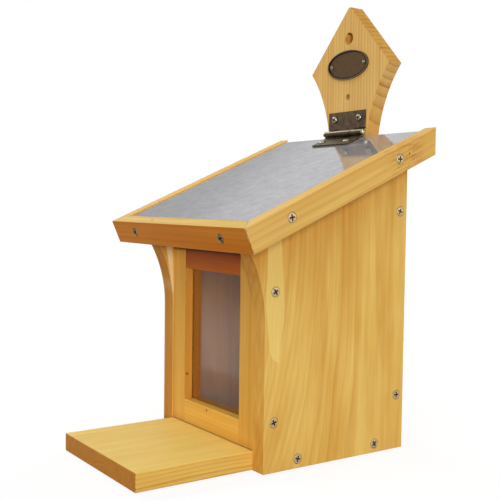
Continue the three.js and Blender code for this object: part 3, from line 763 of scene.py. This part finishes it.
def bronze_plating(name, dark_rim=False):
    """Antique bronze plating on steel: satin brown with olive and violet mottling in blotches
    of 4 mm, and grit of 0.7 mm. It is painted pale where it looks up, most of all on the barrel,
    within 3 mm of the pin's axis: partly wear, partly a painted highlight. dark_rim is for the
    plate."""
    material, tree, place, normal = blank_material(name)
    blotch = add(tree, "TexNoise", Vector=place, Scale=260.0, Detail=3.0, Roughness=0.6)
    grit = add(tree, "TexNoise", Vector=place, Scale=1500.0, Detail=2.0, Roughness=0.6)
    if dark_rim:
        colour = rimmed(tree, place, grit)
    else:
        colour = add(tree, "ValToRGB", Fac=blotch, stops=[
            (0.30, "#50413e"), (0.45, "#655141"), (0.58, "#6e5c45"), (0.72, "#766c4e")])
    # Painted highlight and wear: faces that look up, most of all the barrel's top, are made paler.
    upward = looking(tree, normal, (0, -0.35, 0.94), 0.6, 0.96, both_ways=False)
    axis = add(tree, "Mapping", Vector=place, Scale=(0, 1, 1),
               Location=(0, -pin_axis[0] * mm, -pin_axis[1] * mm))
    from_axis = add(tree, "VectorMath", "LENGTH", in_0=axis)
    highlight_and_wear = add(tree, "MapRange", Value=from_axis, From_Min=2.9 * mm, From_Max=3.1 * mm,
                   To_Min=0.75, To_Max=0.22)
    highlight_and_rubbing = add(tree, "Math", "MULTIPLY", in_0=upward, in_1=highlight_and_wear)
    colour = add(tree, "Mix", painted, Factor=highlight_and_rubbing, A=colour, B="#a4a488")
    worn = add(tree, "MapRange", Value=blotch, To_Min=0.3, To_Max=0.5)
    bump = add(tree, "Bump", Strength=0.3, Distance=0.05 * mm, Height=grit)
    metal = add(tree, "BsdfPrincipled", Base_Color=colour, Metallic=1.0, Roughness=worn, Normal=bump)
    add(tree, "OutputMaterial", Surface=metal)
    return material


hinge_finish = bronze_plating("antique_bronze_plating")
plate_finish = bronze_plating("cast_plate_bronze", dark_rim=True)
print("plated:", hinge_finish.name, plate_finish.name)

# %% [markdown]
# ## Notches in the leaves
# A leaf is cut away where the other leaf's knuckles turn. The frame cuts these notches deep,
# so that nothing touches through the whole swing. On the real hinge they are shallower, and
# wood would show in the gap, so their bottoms are pushed out again: on the upper leaf to the
# depth that shows, and on the lower leaf to under the barrel, which hides where they end.

# %% Work the leaves and the plate
leaf_edge = 0.2
notch_to_axis = 5.0  # mm from a notch's bottom to the pin's axis
smallest_bottom = 5.0  # square mm
upper_leaf = eased_copy("hinge_leaf_upper", leaf_edge, hinge_finish, longest_hole_edge=1.2)
lower_leaf = eased_copy("hinge_leaf_lower", leaf_edge, hinge_finish, longest_hole_edge=1.2)


def fill_notches(leaf, towards_barrel, filled_by):
    """Make a leaf's notches shallower by that many mm. Their bottoms are the flat faces that
    look towards the barrel from notch_to_axis away. Each one is pushed out, and its ends are
    drawn in a little on the way, so that they stand clear of the knuckles' sides."""
    taper = 0.3
    towards = Vector(towards_barrel)
    barrel = Vector((0, *pin_axis)) * mm
    shell = bmesh.new()
    shell.from_mesh(leaf.data)
    bottoms = []
    for face in shell.faces:
        away = (barrel - face.calc_center_median()).dot(towards) / mm
        faces_barrel = face.normal.dot(towards) > 0.95 and abs(away - notch_to_axis) < 0.2
        if faces_barrel and face.calc_area() > smallest_bottom * mm * mm:
            bottoms.append(face)
    for face in bottoms:
        middle = face.calc_center_median().x
        pushed = bmesh.ops.extrude_discrete_faces(shell, faces=[face])["faces"][0]
        for vertex in pushed.verts:
            vertex.co += towards * filled_by * mm
            vertex.co.x -= math.copysign(taper * mm, vertex.co.x - middle)
    bmesh.ops.recalc_face_normals(shell, faces=shell.faces)
    open_edges = sum(len(edge.link_faces) != 2 for edge in shell.edges)
    shell.to_mesh(leaf.data)
    shell.free()
    print(leaf.name, "notches filled:", len(bottoms), "open edges:", open_edges)


fill_notches(upper_leaf, (0, 0, -1), filled_by=1.7)
fill_notches(lower_leaf, up_slope, filled_by=6.4)
eased_copy("oval_plate", leaf_edge, plate_finish, longest_hole_edge=1.0)

# %% [markdown]
# ## Screws and pins
# The screws are countersunk, with a cross recess, in yellow zinc. A lathe could turn the head
# but not the cross, so each screw is a polar grid: rings of points from the head's middle out
# over the rim, down the cone and the shank to the tip. Where a ring crosses an arm of the
# cross, its angles are crowded against the arm's walls, so the walls come out straight, and
# the points inside are pushed down. The plate's pins are the same grid with a domed head.

# %% Screw surface
arm_shares = np.array([0.0, 0.5, 1.0])
inside_arm = np.array([1, 1, 1, 0, 0, 0, 0, 0, 1, 1])  # the points of a quarter turn
widest_arm = math.sin(math.radians(33))  # near the middle, where the arms meet
widest_wall = math.radians(6)
# Darkening round the rim, from this share of the head's radius on: partly grime, partly painted shade
# in the gap round the head.
rim_from, rim_shade_and_grime = 0.93, 0.75


def fastener_surface(radii, depths, deep, arm_half_width, wall):
    """A closed turned surface with a cross pressed into its top.
    Ring i has radius radii[i] and lies depths[i] below the top. An arm's half angle on a ring is
    asin(arm_half_width / radius). Each quarter turn has three angles inside that half angle,
    one a wall's width outside it, three between, and the same again in mirror image. Points
    inside an arm lie deep[i] lower. Returns points, faces and each point's grime: 1 in the
    recess, rim_shade_and_grime from the rim on, and 0 between. It darkens the head: partly grime and
    oil that crept up from the wood, partly painted shade in the recess and in the gap round the rim."""
    half_arm = np.arcsin(np.minimum(arm_half_width / radii, widest_arm))
    outside = half_arm + np.minimum(wall / radii, widest_wall)
    first = half_arm[:, None] * arm_shares
    between = outside[:, None] + (math.pi / 2 - 2 * outside)[:, None] * np.linspace(0, 1, 5)
    last = math.pi / 2 - half_arm[:, None] * arm_shares[:0:-1]
    quarter = np.hstack([first, between, last])
    angles = np.hstack([quarter + turn * math.pi / 2 for turn in range(4)])
    middle = (radii < 1.3 * arm_half_width)[:, None]
    pressed = np.where(middle, 1.0, np.tile(inside_arm, 4)[None, :]) * deep[:, None]
    x = radii[:, None] * np.cos(angles)
    y = radii[:, None] * np.sin(angles)
    z = depths[:, None] + pressed
    points = np.stack([x, y, z], axis=-1).reshape(-1, 3)
    points = np.vstack([[0, 0, depths[0] + deep[0]], points, [0, 0, depths[-1] + wall]])
    rings, turns = angles.shape
    ring, turn = np.meshgrid(np.arange(rings - 1), np.arange(turns), indexing="ij")
    here = 1 + ring * turns + turn
    beside = 1 + ring * turns + (turn + 1) % turns
    quads = np.stack([here, here + turns, beside + turns, beside], axis=-1).reshape(-1, 4)
    around = np.arange(turns)
    top = np.stack([np.zeros_like(around), 1 + around, 1 + (around + 1) % turns], axis=-1)
    end = 1 + (rings - 1) * turns
    tip = np.stack([np.full_like(around, len(points) - 1), end + (around + 1) % turns,
                    end + around], axis=-1)
    past_rim = np.maximum.accumulate(radii >= rim_from * radii.max())[:, None]
    # Grime and painted shade: the recess and the rim are marked to be darkened.
    grime = np.where(pressed > 0, 1.0, np.where(past_rim, rim_shade_and_grime, 0.0))
    grime = np.concatenate([[1.0], grime.reshape(-1), [rim_shade_and_grime]])
    return points, quads.tolist() + top.tolist() + tip.tolist(), grime


print("points on each ring:", 4 * len(inside_arm))

# %% [markdown]
# ## Driving them
# Each fastener sits exactly where its solid sits: the solid's points, split into a part along
# the fastener and a part across it, give its top, its length and its head's radius. Nobody
# lines up the crosses of wood screws, so each one gets its own twist.

# %% Seat and drive a fastener
arm_width = 0.16   # half an arm's width as a share of the head's radius
no_arm = 0.01      # the same in mm, for a pin without a cross
wall_width = 0.06  # mm
turns_of_screws = np.random.default_rng(7)


def seat_of(node, inward):
    """Where a fastener sits: the middle of its top, its length and its head's radius, in mm."""
    mesh = frame["nodes"][node].data
    flat = np.empty(len(mesh.vertices) * 3)
    mesh.vertices.foreach_get("co", flat)
    places = flat.reshape(-1, 3) / mm
    along = places @ inward
    across = places - along[:, None] * inward
    middle = (across.min(axis=0) + across.max(axis=0)) / 2
    reach = np.linalg.norm(across - middle, axis=1).max()
    return middle + along.min() * inward, along.max() - along.min(), reach


def drive(node, inward, shape, material, crossed=True):
    """Put a turned fastener in the place of a CAD node. shape(length, head's radius) gives its
    rings as (radius, depth, pressed depth), in mm, and the last ring is the tip."""
    inward = np.array(inward, float) / np.linalg.norm(inward)
    top, length, reach = seat_of(node, inward)
    rows = np.array(shape(length, reach))
    points, faces, grime = fastener_surface(rows[:, 0], rows[:, 1], rows[:, 2],
                                            arm_width * reach if crossed else no_arm, wall_width)
    helper = np.array([0, 0, 1.0]) if abs(inward[2]) < 0.8 else np.array([0, 1.0, 0])
    sideways = np.cross(inward, helper)
    sideways /= np.linalg.norm(sideways)
    upright = np.cross(inward, sideways)
    spin = turns_of_screws.uniform(0, math.pi / 2)
    first = math.cos(spin) * sideways + math.sin(spin) * upright
    second = np.cross(inward, first)
    placed = top + points @ np.stack([first, second, inward])
    mesh = bpy.data.meshes.new(node + "_turned")
    mesh.from_pydata((placed * mm).tolist(), [], faces)
    mesh.attributes.new("grime", "FLOAT", "POINT").data.foreach_set("value", grime)
    put_in_place(node, "_turned", mesh, material, 32)


_, length, reach = seat_of("side_screw_right_1", np.array([-1.0, 0, 0]))
print("a side screw is", round(length, 1), "mm long, its head", round(2 * reach, 1), "mm wide")

# %% [markdown]
# ## Heads, shanks and zinc
# A profile is a list of rings: how far out each lies, how deep, and how far the cross is
# pressed in there. The leaf screws have a raised head, which is the same head lifted onto a
# shallow ellipse. Yellow zinc shimmers, because its film is thin. The recess and the rim are
# painted dark: partly grime where a cloth doesn't reach, partly painted shade in the recess
# and in the gap round the head.

# %% Screw shapes and finish
arm_rings = [(0.12, 1.0), (0.24, 0.94), (0.36, 0.8), (0.5, 0.66), (0.62, 0.5)]  # radius, pressed
rim_rings = [(0.78, 0.05), (0.9, 0.12), (0.97, 0.2), (1.0, 0.3), (1.0, 0.42)]  # radius, mm down
head_rings = len(arm_rings) + 1 + len(rim_rings)


def countersunk(length, reach):
    """Rings of a countersunk screw: head with its recess, rim, cone, shank and tip. reach is
    the head's radius: its rings lie at shares of it, and the recess is half of it deep."""
    shank = 0.5 * reach if reach > 3.6 else 0.4 * reach
    deep = 0.5 * reach
    head = [(share * reach, 0.0, pressed * deep) for share, pressed in arm_rings]
    head += [(head[-1][0] + 0.1, 0.02, 0.0)]
    head += [(share * reach, down, 0.0) for share, down in rim_rings]
    cone = 0.4 + reach - shank
    return head + [(0.5 * (reach + shank), 0.5 * (0.4 + cone), 0.0), (shank, cone, 0.0),
                   (shank, length - 1.6 * shank, 0.0), (0.5 * shank, length - 0.8 * shank, 0.0),
                   (0.05, length - 0.06, 0.0)]


def raised(length, reach):
    """Rings of a raised countersunk screw: its top is a half ellipse over the rim, with the
    same recess."""
    rise = 1.5
    flat = countersunk(length, reach)
    share = np.minimum([ring[0] / reach for ring in flat[:head_rings]], 1.0)
    lift = rise * np.sqrt(1 - share ** 2)
    head = [(r, d - up, deep) for (r, d, deep), up in zip(flat[:head_rings], lift)]
    return head + flat[head_rings:]


def domed(length, reach):
    """Rings of a domed pin: a shallow dome, its flat underside, and a thin shank."""
    angles = np.linspace(0.15, math.pi / 2, 8)
    height = 1.1
    dome = [(reach * math.sin(angle), height * (1 - math.cos(angle)), 0.0) for angle in angles]
    shank = 0.35 * reach
    return dome + [(shank, height, 0.0), (shank, length - 1.0, 0.0), (0.05, length - 0.06, 0.0)]


def zinc_plating(name, tints):
    """Yellow zinc plating on steel: its film is thin enough to shimmer from olive over straw
    to pink and grey, in patches of 2 mm. The recess and the rim are darkened, partly grime and
    partly painted shade. tints are those four colours."""
    material, tree, place, _ = blank_material(name)
    sheen = add(tree, "TexNoise", Vector=place, Scale=420.0, Detail=2.0)
    colour = add(tree, "ValToRGB", Fac=sheen, stops=list(zip((0.36, 0.47, 0.56, 0.66), tints)))
    # Grime and painted shade in the recess and round the rim darken the zinc.
    grime = add(tree, "Attribute", {"attribute_name": "grime"}).outputs["Fac"]
    dirt_and_shade = add(tree, "MapRange", Value=grime, To_Max=0.96)
    colour = add(tree, "Mix", painted, Factor=dirt_and_shade, A=colour, B="#36190f")
    dull = add(tree, "MapRange", Value=grime, To_Min=0.28, To_Max=0.6)
    metal = add(tree, "BsdfPrincipled", Base_Color=colour, Metallic=1.0, Roughness=dull)
    add(tree, "OutputMaterial", Surface=metal)
    return material


screw_finish = zinc_plating("yellow_zinc_plating", ("#dcc084", "#fff2b4", "#fcc49c", "#ecdfbc"))
# A darker copy of the zinc: painted shade for the front batten's screws, which face down under the lid.
shade_darkened = zinc_plating("tarnished_zinc_plating", ("#5a5636", "#8a7c54", "#6a5440", "#a39c78"))
rubbed_bare = zinc_plating("rubbed_zinc_plating", ("#8c9478", "#ccc8a4", "#a08c7c", "#d4dccc"))
browned = zinc_plating("browned_zinc_plating", ("#6a7058", "#9c987c", "#7c6c60", "#a3a898"))
to_left, to_right, to_back, to_front = (-1, 0, 0), (1, 0, 0), (0, 1, 0), (0, -1, 0)
into_roof = (0, math.sin(roof_slope), -math.cos(roof_slope))
driven = {"side_screw_right": (to_left, countersunk, screw_finish),
          "side_screw_left": (to_right, countersunk, screw_finish),
          "backboard_screw": (to_front, countersunk, screw_finish),
          "batten_screw_right": (to_left, countersunk, screw_finish),
          "batten_screw_left": (to_right, countersunk, screw_finish),
          "front_batten_screw": (up_slope, countersunk, shade_darkened),
          "upper_leaf_screw": (to_back, raised, rubbed_bare),
          "lower_leaf_screw": (into_roof, raised, rubbed_bare)}
screws = [(node, *driven[start]) for node in frame["nodes"] for start in driven
          if node.startswith(start)]
for node, inward, shape, finish in screws:
    drive(node, inward, shape, finish)
drive("plate_pin_right", to_back, domed, browned, crossed=False)
drive("plate_pin_left", to_back, domed, browned, crossed=False)
eased_copy("hinge_pin", leaf_edge, rubbed_bare, longest_hole_edge=1.2)
print("screws driven:", len(screws))
